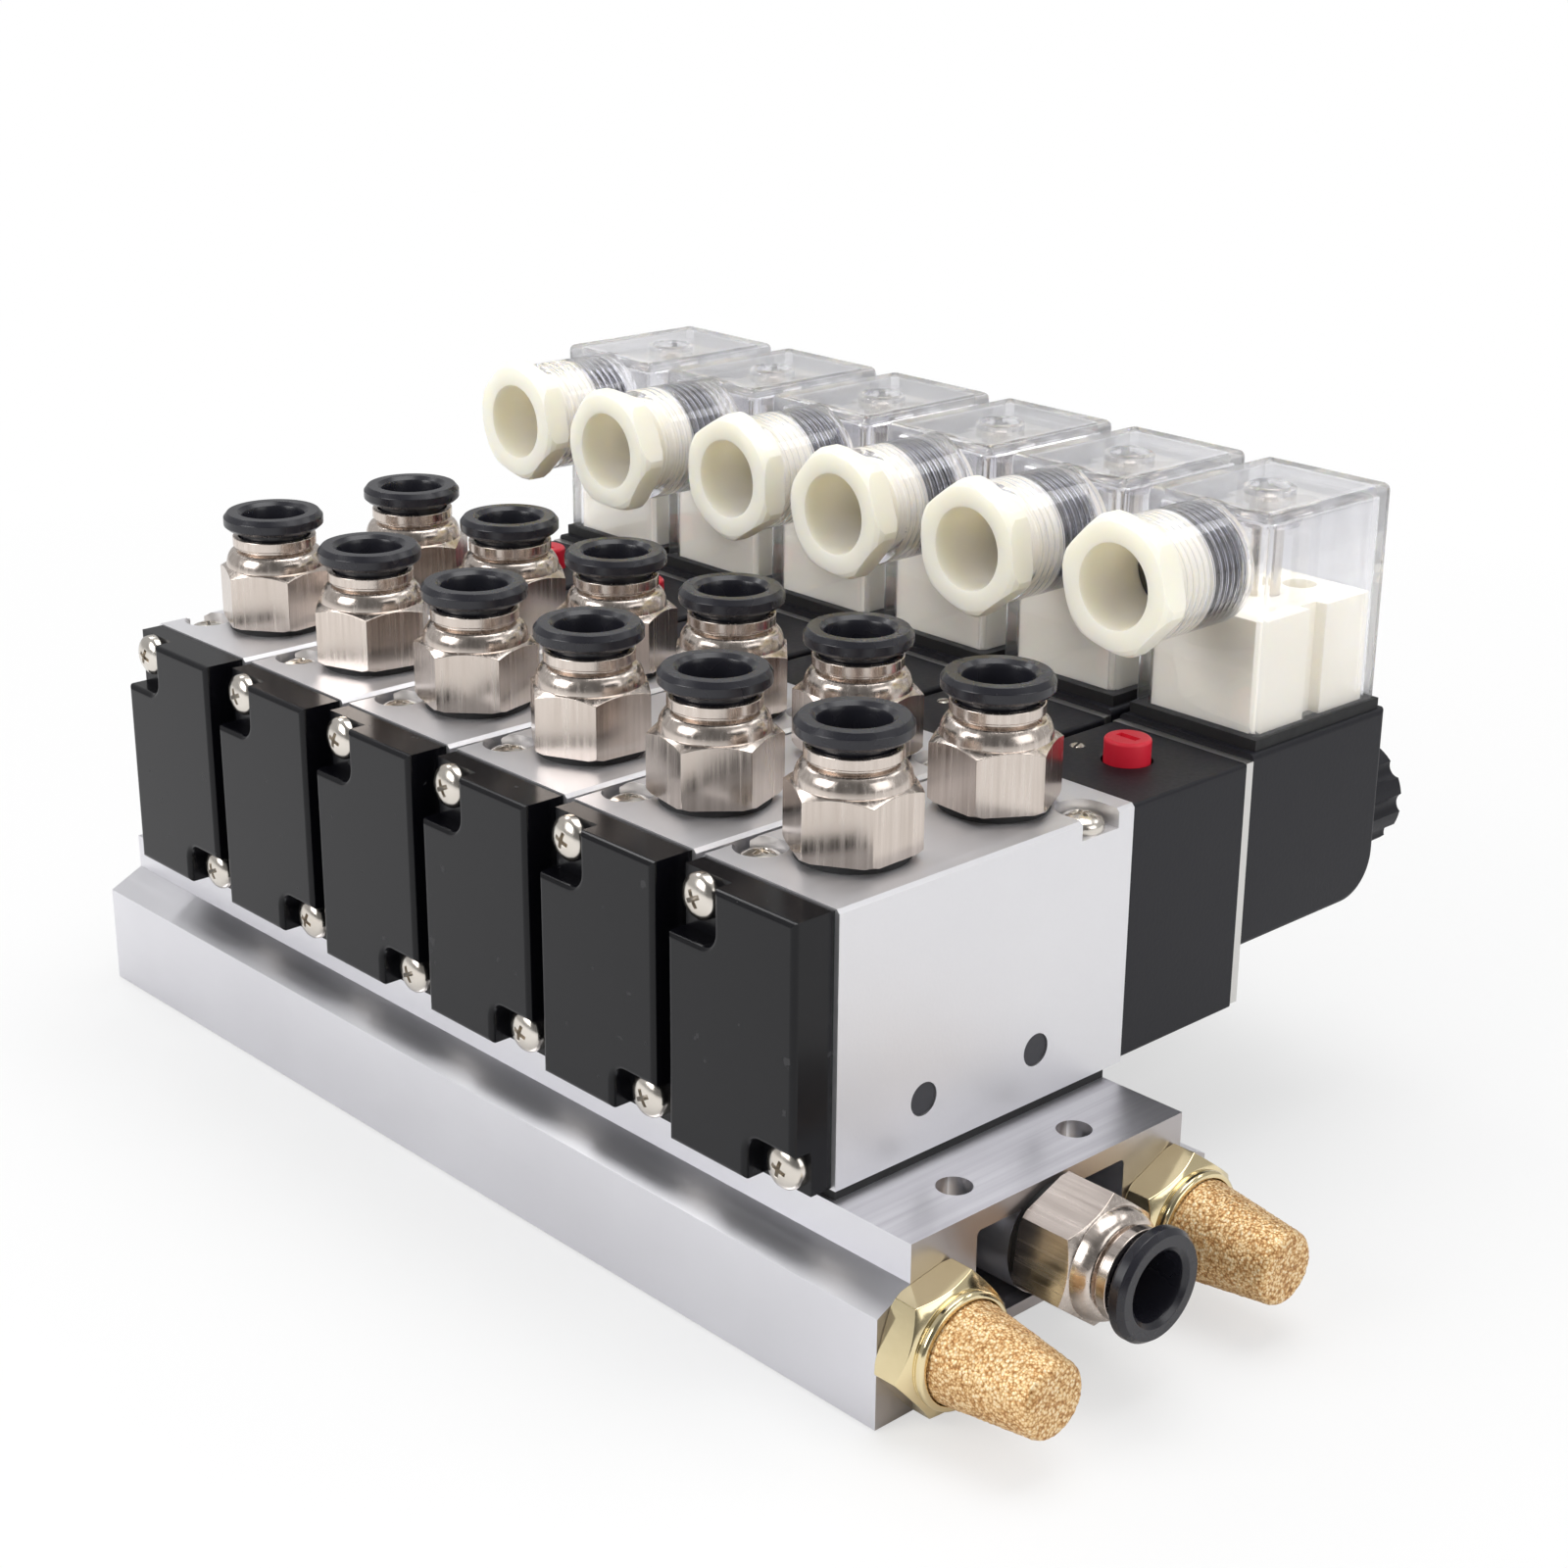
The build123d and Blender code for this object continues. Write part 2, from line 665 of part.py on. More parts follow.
# Long screw down the middle of each connector into its coil
with BuildPart() as connector_screws:
    well_floor = connector_bottom + connector_height - well_depth
    for x in station_x:
        with BuildSketch(Plane.XY.offset(well_floor)):
            with Locations((x, connector_middle)):
                Circle(connector_screw_head_r)
        extrude(amount=connector_screw_head)
        with BuildSketch(Plane.XY.offset(well_floor)):
            with Locations((x, connector_middle)):
                Circle(screw_r)
        extrude(amount=coil_top - connector_screw_bite - well_floor)
connector_screws.part.label = "connector_screws"
export_step(connector_screws.part, "parts/connector_screws.step")

# Cable gland nut: hexagon head and a threaded tail that screws into the neck
with BuildPart() as gland_nuts:
    for x, out, turn in zip(station_x, gland_out, gland_turn):
        nut_seat = neck_front - out
        with BuildSketch(Plane.XZ.offset(-nut_seat)):
            with Locations((x, neck_z)):
                RegularPolygon(gland_across / 2, 6, major_radius=False, rotation=turn)
        extrude(amount=gland_head)
        with BuildSketch(Plane.XZ.offset(-nut_seat)):
            with Locations((x, neck_z)):
                Circle(neck_thread_r - seat_clearance)
        extrude(amount=-gland_thread_length)
        with BuildSketch(Plane.XZ.offset(gland_head - nut_seat)):
            with Locations((x, neck_z)):
                Circle(gland_bore_r)
        extrude(amount=-(gland_head + gland_thread_length), mode=Mode.SUBTRACT)
gland_nuts.part.label = "gland_nuts"
export_step(gland_nuts.part, "parts/gland_nuts.step")

# Rubber grommet that the nut squeezes round the cable
with BuildPart() as cable_grommets:
    for x, out in zip(station_x, gland_out):
        with BuildSketch(Plane.XZ.offset(-(neck_front - out + gland_thread_length))):
            with Locations((x, neck_z)):
                Circle(neck_thread_r - seat_clearance)
                Circle(grommet_hole_r, mode=Mode.SUBTRACT)
        extrude(amount=-grommet_length)
cable_grommets.part.label = "cable_grommets"
export_step(cable_grommets.part, "parts/cable_grommets.step")

# Push-in fitting body: threaded shank, hexagon with turned corners, domed shoulder, groove and collar
hex_bottom = o_ring_thick
hex_top = hex_bottom + hex_height
groove_bottom = hex_top + shoulder_height
collar_bottom = groove_bottom + groove_height
collar_top = collar_bottom + collar_height
hex_corner_r = fitting_across / 3**0.5
with BuildPart() as one_fitting:
    with BuildSketch(Plane.XY.offset(hex_bottom)):
        RegularPolygon(fitting_across / 2, 6, major_radius=False)
    extrude(amount=hex_height)
    with BuildSketch(Plane.XZ):
        with BuildLine():
            Polyline(
                (0, hex_bottom),
                (hex_corner_r, hex_bottom),
                (hex_corner_r, hex_top - hex_bevel / 2),
                (shoulder_r, hex_top),
                (0, hex_top),
                close=True,
            )
        make_face()
    revolve(axis=Axis.Z, mode=Mode.INTERSECT)
    with BuildSketch(Plane.XZ):
        with BuildLine():
            Polyline((groove_r, groove_bottom), (0, groove_bottom), (0, hex_top), (shoulder_r, hex_top))
            RadiusArc((shoulder_r, hex_top), (groove_r, groove_bottom), -shoulder_height)
        make_face()
    revolve(axis=Axis.Z)
    with BuildSketch(Plane.XY.offset(hex_bottom)):
        Circle(thread_r)
    extrude(amount=-(hex_bottom + thread_length))
    with BuildSketch(Plane.XY.offset(groove_bottom)):
        Circle(groove_r)
    extrude(amount=groove_height)
    with BuildSketch(Plane.XY.offset(collar_bottom)):
        Circle(collar_r)
    extrude(amount=collar_height)
    with Locations((0, 0, collar_top)):
        Hole(ring_neck_r + running_gap, depth=collar_top - grip_floor)
        Hole(tube_hole_r, depth=collar_top - tube_stop)
        Hole(fitting_bore_r, depth=collar_top + thread_length)

fitting_seats = {}
for row, y, turns in (("a", work_port_y[0], front_turn), ("b", work_port_y[1], rear_turn)):
    for number, (x, turn) in enumerate(zip(station_x, turns), 1):
        fitting_seats[f"{row}{number}"] = Location((x, y, body_top), (0, 0, turn))
supply_plane = Plane((near_end, 0, supply_z), x_dir=(0, 1, 0), z_dir=(1, 0, 0))
fitting_seats["supply"] = supply_plane.location * Location((0, 0, 0), (0, 0, supply_turn))

with BuildPart() as fitting_bodies:
    with Locations(*fitting_seats.values()):
        add(one_fitting.part)
fitting_bodies.part.label = "fitting_bodies"
export_step(fitting_bodies.part, "parts/fitting_bodies.step")

# Sealing ring under each hexagon
with BuildPart() as one_seal:
    with BuildSketch(Plane.XY):
        Circle(fitting_across / 2 - running_gap)
        Circle(seat_r, mode=Mode.SUBTRACT)
    extrude(amount=o_ring_thick)
with BuildPart() as fitting_seals:
    with Locations(*fitting_seats.values()):
        add(one_seal.part)
fitting_seals.part.label = "fitting_seals"
export_step(fitting_seals.part, "parts/fitting_seals.step")

# Release ring: pressed in to let the tube go
ring_bottom = collar_top + ring_stroke + ring_stop_gap
ring_top = ring_bottom + ring_thick
with BuildPart() as one_ring:
    with BuildSketch(Plane.XZ):
        with BuildLine():
            Polyline(
                (tube_hole_r, ring_bottom - ring_neck_length),
                (ring_neck_r, ring_bottom - ring_neck_length),
                (ring_neck_r, ring_bottom),
                (ring_foot_r, ring_bottom),
                (ring_r, ring_bottom + ring_taper),
                (ring_r, ring_top - ring_bevel),
                (ring_r - ring_bevel, ring_top),
                (tube_hole_r + ring_bevel, ring_top),
                (tube_hole_r, ring_top - ring_bevel),
                close=True,
            )
        make_face()
    revolve(axis=Axis.Z)
for place, seat in fitting_seats.items():
    with BuildPart() as release_ring:
        with Locations(seat):
            add(one_ring.part)
    release_ring.part.label = f"release_ring_{place}"
    export_step(release_ring.part, f"parts/{release_ring.part.label}.step")

# Silencers: brass hexagon with a flange, and a sintered bronze cone seated in it
cone_start = silencer_hex + silencer_flange - cone_seat
cone_end = silencer_hex + silencer_flange + cone_length
silencer_seats = []
for y, turn in zip((-exhaust_y, exhaust_y), silencer_turn):
    silencer_plane = Plane((near_end, y, exhaust_z), x_dir=(0, 1, 0), z_dir=(1, 0, 0))
    silencer_seats.append(silencer_plane.location * Location((0, 0, 0), (0, 0, turn)))
with BuildPart() as one_holder:
    with BuildSketch(Plane.XY):
        RegularPolygon(silencer_across / 2, 6, major_radius=False)
    extrude(amount=silencer_hex)
    with BuildSketch(Plane.XY.offset(silencer_hex)):
        Circle(silencer_flange_r)
    extrude(amount=silencer_flange)
    with BuildSketch(Plane.XY):
        Circle(thread_r)
    extrude(amount=-thread_length)
    with Locations((0, 0, silencer_hex + silencer_flange)):
        Hole(cone_root_r + seat_clearance, depth=cone_seat + seat_clearance)
        Hole(fitting_bore_r, depth=silencer_hex + silencer_flange + thread_length)
with BuildPart() as silencer_holders:
    with Locations(*silencer_seats):
        add(one_holder.part)
silencer_holders.part.label = "silencer_holders"
export_step(silencer_holders.part, "parts/silencer_holders.step")

with BuildPart() as one_cone:
    with BuildSketch(Plane.XZ) as cone_profile:
        with BuildLine():
            Polyline(
                (0, cone_end),
                (cone_tip_r, cone_end),
                (cone_root_r, cone_start + cone_seat),
                (cone_root_r, cone_start),
                (cone_root_r - cone_wall, cone_start),
                (cone_tip_r - cone_wall, cone_end - cone_wall),
                (0, cone_end - cone_wall),
                close=True,
            )
        make_face()
        fillet(cone_profile.vertices().group_by(Axis.Y)[-1].sort_by(Axis.X)[-1], cone_round)
    revolve(axis=Axis.Z)
with BuildPart() as silencer_cones:
    with Locations(*silencer_seats):
        add(one_cone.part)
silencer_cones.part.label = "silencer_cones"
export_step(silencer_cones.part, "parts/silencer_cones.step")
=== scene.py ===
import math

import bmesh
import bpy
from mathutils import Matrix, Vector, noise


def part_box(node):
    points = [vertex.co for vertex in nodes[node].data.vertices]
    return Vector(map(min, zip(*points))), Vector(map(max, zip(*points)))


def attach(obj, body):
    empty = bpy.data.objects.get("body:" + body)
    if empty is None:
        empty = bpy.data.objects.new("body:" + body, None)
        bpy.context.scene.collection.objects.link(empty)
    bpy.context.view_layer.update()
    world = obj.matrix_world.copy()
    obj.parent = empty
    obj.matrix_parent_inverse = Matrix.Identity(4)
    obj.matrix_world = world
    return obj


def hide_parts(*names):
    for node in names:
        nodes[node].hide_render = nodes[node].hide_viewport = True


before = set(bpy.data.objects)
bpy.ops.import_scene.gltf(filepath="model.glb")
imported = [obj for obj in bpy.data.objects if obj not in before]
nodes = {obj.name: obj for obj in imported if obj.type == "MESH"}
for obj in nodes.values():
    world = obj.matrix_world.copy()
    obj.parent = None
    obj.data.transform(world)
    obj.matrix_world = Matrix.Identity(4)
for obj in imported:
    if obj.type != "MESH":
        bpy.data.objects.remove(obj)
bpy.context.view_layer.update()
MM = 0.001

# Camera: the photograph looks down on the near end of the row from the covers' side, with a
# little roll, and its optical axis lies a little to the right of the picture's middle.
azimuth, elevation, roll = (math.radians(a) for a in (45.39, 20.437, 1.073))
near_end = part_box("manifold")[1][0]
body_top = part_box("valve_body_1")[1][2]
aim = Vector((near_end, 0.0, body_top)) + Vector((-37.951, 6.177, -0.061)) * MM
camera_distance = 317.888 * MM
focal_px, axis_px, picture_px, sensor_mm = 2737.897, (879.7, 801.631), 1600.0, 36.0
back = Vector((math.sin(azimuth) * math.cos(elevation), -math.cos(azimuth) * math.cos(elevation), math.sin(elevation)))
right = Vector((math.cos(azimuth), math.sin(azimuth), 0.0))
up = back.cross(right)
level_right, level_up = right.copy(), up.copy()
right = level_right * math.cos(roll) + level_up * math.sin(roll)
up = level_up * math.cos(roll) - level_right * math.sin(roll)
lens = bpy.data.cameras.new("photo_camera")
lens.sensor_width = sensor_mm
lens.lens = focal_px / picture_px * sensor_mm
lens.shift_x = (picture_px / 2 - axis_px[0]) / picture_px
lens.shift_y = (axis_px[1] - picture_px / 2) / picture_px
lens.clip_start = 0.01
camera = bpy.data.objects.new("photo_camera", lens)
turn = Matrix((right, up, back)).transposed().to_4x4()
camera.matrix_world = Matrix.Translation(aim + camera_distance * back) @ turn
bpy.context.collection.objects.link(camera)
bpy.context.scene.camera = camera
bpy.context.scene.view_settings.view_transform = "Standard"


# Shader sums: a wire is one output of a node, and a finish is one material with its shader.
# Expressions on wires add the Math nodes of that finish.
class Wire:
    def __init__(self, finish, socket):
        self.finish, self.socket = finish, socket

    def math(self, operation, *values, clamp=False):
        return self.finish.add("ShaderNodeMath", {"operation": operation, "use_clamp": clamp}, dict(enumerate(values)))

    def __add__(self, other):
        return self.math("ADD", self, other)

    def __sub__(self, other):
        return self.math("SUBTRACT", self, other)

    def __rsub__(self, other):
        return self.math("SUBTRACT", other, self)

    def __mul__(self, other):
        return self.math("MULTIPLY", self, other)

    def __truediv__(self, other):
        return self.math("DIVIDE", self, other)

    def __gt__(self, other):
        return self.math("GREATER_THAN", self, other)

    def clip(self):
        return self.math("ADD", self, 0.0, clamp=True)

    __radd__, __rmul__ = __add__, __mul__


class Finish:
    def __init__(self, name, color, **sockets):
        self.material = bpy.data.materials.new(name)
        self.material.use_nodes = True
        self.tree = self.material.node_tree
        self.shader = self.tree.nodes["Principled BSDF"]
        self.set("Base Color", (*color, 1.0))
        for socket, value in sockets.items():
            self.set(socket.replace("_", " ").title().replace("Ior", "IOR"), value)

    def set(self, socket, value):
        self.join(self.shader.inputs[socket], value)

    def join(self, target, value):
        if isinstance(value, Wire):
            self.tree.links.new(value.socket, target)
        else:
            target.default_value = value

    def add(self, kind, settings, inputs, output=0):
        node = self.tree.nodes.new(kind)
        for name, value in settings.items():
            if name == "stops":
                ramp = node.color_ramp.elements
                for place, shade in value[2:]:
                    ramp.new(place)
                for element, (place, shade) in zip(ramp, sorted(value)):
                    element.position, element.color = place, (*shade, 1.0)
            else:
                setattr(node, name, value)
        for name, value in inputs.items():
            self.join(node.inputs[name], value)
        return Wire(self, node.outputs[output])

    def place(self, stretch=(1.0, 1.0, 1.0), start=(0.0, 0.0, 0.0)):
        coordinates = self.add("ShaderNodeTexCoord", {}, {}, "Object")
        return self.add("ShaderNodeMapping", {}, {"Vector": coordinates, "Scale": stretch, "Location": start})

    def grain(self, scale, detail=3.0, stretch=(1.0, 1.0, 1.0), roughness=0.55):
        return self.add("ShaderNodeTexNoise", {}, {"Vector": self.place(stretch), "Scale": scale, "Detail": detail, "Roughness": roughness})

    def facing(self, axis):
        normal = self.add("ShaderNodeNewGeometry", {}, {}, "Normal")
        return self.add("ShaderNodeSeparateXYZ", {}, {"Vector": normal}, axis)

    def blend(self, mask, first, second):
        mix = {"data_type": "RGBA"}
        return self.add("ShaderNodeMix", mix, {0: mask, 6: first, 7: second}, 2)

    def bump(self, height, strength, distance):
        self.set("Normal", self.add("ShaderNodeBump", {}, {"Height": height, "Strength": strength, "Distance": distance * MM}))

    def paint(self, *objects):
        for piece in objects:
            if not piece.data.materials:
                piece.data.materials.append(self.material)
            for index in range(len(piece.data.materials)):
                piece.data.materials[index] = self.material


# Manifold: one length of extruded aluminium with a satin anodised skin. The deck is milled
# flat across the run, and the rest keeps the fine lines of the extrusion along it.
anodised = Finish("satin_anodised_extrusion", (0.77, 0.78, 0.80), metallic=1.0, roughness=0.3)
deck_mask = (anodised.facing("Z") > 0.98).clip()
mill_lines = anodised.grain(900.0, 2.0, (1.0, 0.02, 0.02))
die_lines = anodised.grain(700.0, 3.0, (0.015, 1.0, 1.0))
cloud = anodised.grain(22.0, 4.0)
lines = deck_mask * mill_lines + (1.0 - deck_mask) * die_lines
streak = (deck_mask * (mill_lines - 0.36) * 3.2).clip()
anodised.set("Roughness", 0.24 + lines * 0.12 + cloud * 0.10)
# The near end face gets its own darker, warmer colour: painted shade, warmed as a painted reflection of the brass
# beside it.
painted_end_shade = (anodised.facing("X") > 0.9).clip()
run = anodised.blend((cloud * 0.6 + (1.0 - streak) * 0.4).clip(), (0.56, 0.545, 0.59, 1), (0.88, 0.88, 0.91, 1))
anodised.set("Base Color", anodised.blend(painted_end_shade, run, (0.50, 0.47, 0.47, 1)))
anodised.bump(lines, 0.35, 0.05)
anodised.paint(nodes["manifold"])

# Far-end plugs: zinc-plated socket plugs that close the three galleries.
zinc = Finish("zinc_plate", (0.52, 0.52, 0.53), metallic=1.0, roughness=0.35)
zinc.set("Roughness", 0.28 + zinc.grain(160.0) * 0.25)
zinc.paint(nodes["port_plugs"])

# Valve bodies: blocks of satin aluminium, blasted on the sides and finely milled on top, with
# bright chamfers along both top edges.
satin = Finish("blasted_aluminium", (0.80, 0.80, 0.82), metallic=1.0, roughness=0.4)
top_mask = (satin.facing("Z") > 0.9).clip()
blast = satin.grain(2600.0, 2.0)
mill = satin.grain(1500.0, 2.0, (1.0, 0.03, 1.0))
stain = satin.grain(40.0, 3.0)
skin = top_mask * mill + (1.0 - top_mask) * blast
satin.set("Roughness", 0.36 + skin * 0.12 + stain * 0.06 + top_mask * 0.04)
satin.set("Base Color", satin.blend(stain, (0.77, 0.765, 0.79, 1), (0.83, 0.825, 0.845, 1)))
satin.bump(skin, 0.30, 0.04)
satin.paint(*(nodes[f"valve_body_{n}"] for n in range(1, 7)))

# Gaskets, sealing rings and grommets: matt black nitrile rubber.
nitrile = Finish("nitrile_rubber", (0.012, 0.012, 0.013), roughness=0.7)
nitrile.set("Roughness", 0.55 + nitrile.grain(500.0) * 0.3)
nitrile.bump(nitrile.grain(1800.0), 0.3, 0.05)
nitrile.paint(*(nodes[n] for n in ("base_gaskets", "connector_gaskets", "fitting_seals", "cable_grommets")))

# Side plugs: dark caps pressed into the cross drillings.
cap = Finish("dark_plug", (0.035, 0.035, 0.042), roughness=0.45)
cap.set("Roughness", 0.4 + cap.grain(900.0) * 0.2)
cap.paint(nodes["side_plugs"])

# End covers: glossy black mouldings with faint flow marks and a few specks of dust.
gloss = Finish("gloss_black_moulding", (0.008, 0.008, 0.009), roughness=0.2, specular_ior_level=0.28)
flow = gloss.grain(30.0, 3.0)
speck = (gloss.grain(420.0, 2.0) > 0.73).clip()
gloss.set("Roughness", 0.17 + flow * 0.10 + speck * 0.3)
gloss.set("Base Color", gloss.blend(speck, (0.003, 0.003, 0.0045, 1), (0.03, 0.03, 0.032, 1)))
gloss.bump(flow, 0.12, 0.10)
gloss.paint(nodes["end_covers"])

# Pilot bodies and coils: spark-textured black plastic, a little blue where it takes the light.
spark = Finish("spark_textured_black", (0.012, 0.012, 0.015), roughness=0.45, specular_ior_level=0.28)
texture = spark.grain(1600.0, 3.0)
spark.set("Roughness", 0.36 + texture * 0.16 + spark.grain(35.0) * 0.08)
spark.set("Base Color", spark.blend(texture, (0.006, 0.006, 0.009, 1), (0.014, 0.014, 0.019, 1)))
spark.bump(texture, 0.35, 0.05)
spark.paint(nodes["pilot_bodies"], nodes["coils"], nodes["coil_nuts"])

# Pole plates and armature tubes: bright rolled steel.
rolled = Finish("rolled_steel", (0.66, 0.65, 0.63), metallic=1.0, roughness=0.3)
rolled.set("Roughness", 0.24 + rolled.grain(900.0, 2.0, (1.0, 1.0, 0.03)) * 0.2)
rolled.paint(nodes["pilot_plates"], nodes["armature_tubes"], *(nodes[f"armature_{n}"] for n in range(1, 7)))

# Spools: turned aluminium.
turned = Finish("turned_aluminium", (0.72, 0.72, 0.74), metallic=1.0, roughness=0.3)
turned.set("Roughness", 0.2 + turned.grain(1200.0, 2.0, (0.05, 1.0, 0.05)) * 0.2)
turned.paint(*(nodes[f"spool_{n}"] for n in range(1, 7)))

# Manual overrides: red push buttons, moulded, with a screwdriver slot.
red = Finish("red_button", (0.72, 0.012, 0.035), roughness=0.35)
red.set("Roughness", 0.32 + red.grain(600.0) * 0.12)
red.set("Base Color", red.blend(red.grain(90.0), (0.74, 0.012, 0.035, 1), (0.88, 0.025, 0.055, 1)))
red.bump(red.grain(900.0), 0.2, 0.05)
red.paint(*(nodes[f"override_button_{n}"] for n in range(1, 7)))

# Terminal blocks: cream nylon, softly lit from inside.
nylon = Finish("cream_nylon", (0.90, 0.86, 0.73), roughness=0.42, subsurface_weight=0.3, subsurface_scale=0.002)
nylon.shader.inputs["Subsurface Radius"].default_value = (1.0, 0.85, 0.55)
nylon.set("Base Color", nylon.blend(nylon.grain(60.0), (0.95, 0.885, 0.73, 1), (0.98, 0.93, 0.81, 1)))
nylon.set("Roughness", 0.38 + nylon.grain(700.0) * 0.14)
nylon.bump(nylon.grain(500.0), 0.15, 0.05)
nylon.paint(nodes["terminal_blocks"])


# Push-in fittings: hexagon bars of nickel-plated brass, turned at the top to a domed shoulder,
# a groove and a collar. A profile is spun and six flats are milled on it.
def spun(profile, segments):
    shape = bmesh.new()
    points = [shape.verts.new((r * MM, 0.0, z * MM)) for r, z in profile]
    edges = [shape.edges.new(pair) for pair in zip(points, points[1:])]
    bmesh.ops.spin(
        shape, geom=points + edges, cent=(0, 0, 0), axis=(0, 0, 1), angle=2 * math.pi, steps=segments, use_merge=True
    )
    bmesh.ops.remove_doubles(shape, verts=shape.verts, dist=1e-6)
    bmesh.ops.recalc_face_normals(shape, faces=shape.faces)
    return shape


def milled_flats(shape, across, count=6):
    for flat in range(count):
        angle = 2 * math.pi * (flat + 0.5) / count
        normal = Vector((math.cos(angle), math.sin(angle), 0.0))
        cut = bmesh.ops.bisect_plane(
            shape,
            geom=shape.verts[:] + shape.edges[:] + shape.faces[:],
            dist=1e-7,
            plane_co=normal * across / 2 * MM,
            plane_no=normal,
            clear_outer=True,
        )
        rim = [e for e in cut["geom_cut"] if isinstance(e, bmesh.types.BMEdge)]
        bmesh.ops.edgeloop_fill(shape, edges=rim)
    return shape


def stand(name, template, places):
    piece = bpy.data.objects.new(name, bpy.data.meshes.new(name))
    bpy.context.collection.objects.link(piece)
    gathered = bmesh.new()
    for place in places:
        mark = len(gathered.verts)
        copy = bpy.data.meshes.new("copy")
        template.to_mesh(copy)
        copy.transform(place)
        gathered.from_mesh(copy)
        bpy.data.meshes.remove(copy)
    bmesh.ops.recalc_face_normals(gathered, faces=gathered.faces)
    gathered.to_mesh(piece.data)
    gathered.free()
    return piece


def soften(piece, width, angle=30.0, segments=2):
    piece.data.shade_smooth()
    edge = piece.modifiers.new("edge", "BEVEL")
    edge.width, edge.segments = width * MM, segments
    edge.limit_method, edge.angle_limit = "ANGLE", math.radians(angle)
    edge.harden_normals = True


def centre(node):
    low, high = (Vector(corner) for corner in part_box(node))
    return (low + high) / 2


hex_across, hex_low, hex_high = 14.0, 0.9, 8.7
corner_r = hex_across / 2 / math.cos(math.pi / 6)
shoulder = [(6.7 - 1.3 * (1 - math.cos(t)), 8.7 + 2.3 * math.sin(t)) for t in (math.radians(15 * k) for k in range(7))]
fitting_profile = (
    [(3.0, -7.0), (4.85, -7.0), (4.85, hex_low), (corner_r - 0.5, hex_low), (corner_r, hex_low + 0.35)]
    + [(corner_r, hex_high - 0.75), (6.95, hex_high - 0.1), (6.7, hex_high)]
    + shoulder[1:]
    + [(5.15, 11.15), (5.15, 11.45), (5.55, 11.5), (5.65, 11.6), (5.65, 12.8), (5.55, 12.9)]
    + [(4.95, 12.9), (4.95, 7.5), (4.1, 7.5), (4.1, 2.6), (3.0, 2.6), (3.0, -7.0)]
)
stations = [centre(f"valve_body_{n}").x for n in range(1, 7)]
front_turn = (38, 20, 44, 26, 50, 32)
rear_turn = (12, 30, 52, 18, 40, 57)
seats = {}
for row, turns in (("a", front_turn), ("b", rear_turn)):
    for number, degrees in enumerate(turns, 1):
        ring_at = centre(f"release_ring_{row}{number}")
        foot = Vector((ring_at.x, ring_at.y, body_top))
        seats[f"{row}{number}"] = Matrix.Translation(foot) @ Matrix.Rotation(math.radians(degrees), 4, "Z")
supply_at = centre("release_ring_supply")
along_x = Matrix(((0, 0, 1), (1, 0, 0), (0, 1, 0))).to_4x4()
supply_turn = 22
seats["supply"] = (
    Matrix.Translation((near_end, supply_at.y, supply_at.z)) @ along_x @ Matrix.Rotation(math.radians(supply_turn), 4, "Z")
)
fitting = milled_flats(spun(fitting_profile, 72), hex_across)
fittings = stand("nickel_fittings", fitting, seats.values())
soften(fittings, 0.1, 25.0)
nickel = Finish("nickel_plated_brass", (0.60, 0.53, 0.47), metallic=1.0, roughness=0.25)
spot = nickel.add("ShaderNodeSeparateXYZ", {}, {"Vector": nickel.place()}, "X")
lying = (spot > near_end).clip()
upright = nickel.grain(1500.0, 3.0, (1.0, 1.0, 0.03), 0.65)
drawn = ((upright * (1.0 - lying) + nickel.grain(1500.0, 3.0, (0.03, 1.0, 1.0), 0.65) * lying - 0.34) * 3.0).clip()
tone = nickel.grain(70.0, 3.0)
nickel.set("Roughness", 0.14 + drawn * 0.12 + tone * 0.06)
nickel.set("Base Color", nickel.blend((tone * 0.5 + drawn * 0.5).clip(), (0.50, 0.43, 0.38, 1), (0.80, 0.72, 0.66, 1)))
nickel.bump(drawn, 0.10, 0.02)
nickel.paint(fittings)
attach(fittings, "island")
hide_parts("fitting_bodies")

# Release rings: black acetal collets, pressed in to let the tube go. Each is a flanged sleeve
# with a tapered underside, and rides on its own slide.
ring_profile = [
    (4.1, 8.9), (4.65, 8.9), (4.65, 13.9), (6.2, 13.9), (6.75, 14.4), (6.75, 15.5), (6.2, 16.2),
    (4.85, 16.2), (4.25, 15.7), (4.1, 15.2), (4.1, 8.9),
]
acetal = Finish("black_acetal", (0.02, 0.021, 0.025), roughness=0.35)
acetal_grain = acetal.grain(260.0, 2.0)
acetal.set("Roughness", 0.20 + acetal_grain * 0.14)
acetal.set("Base Color", acetal.blend(acetal_grain, (0.010, 0.010, 0.014, 1), (0.017, 0.017, 0.024, 1)))
acetal.bump(acetal_grain, 0.05, 0.02)
ring = spun(ring_profile, 64)
for place, seat in seats.items():
    collet = stand(f"collet_{place}", ring, [seat])
    soften(collet, 0.08, 30.0)
    acetal.paint(collet)
    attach(collet, f"ring_{place}")
    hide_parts(f"release_ring_{place}")

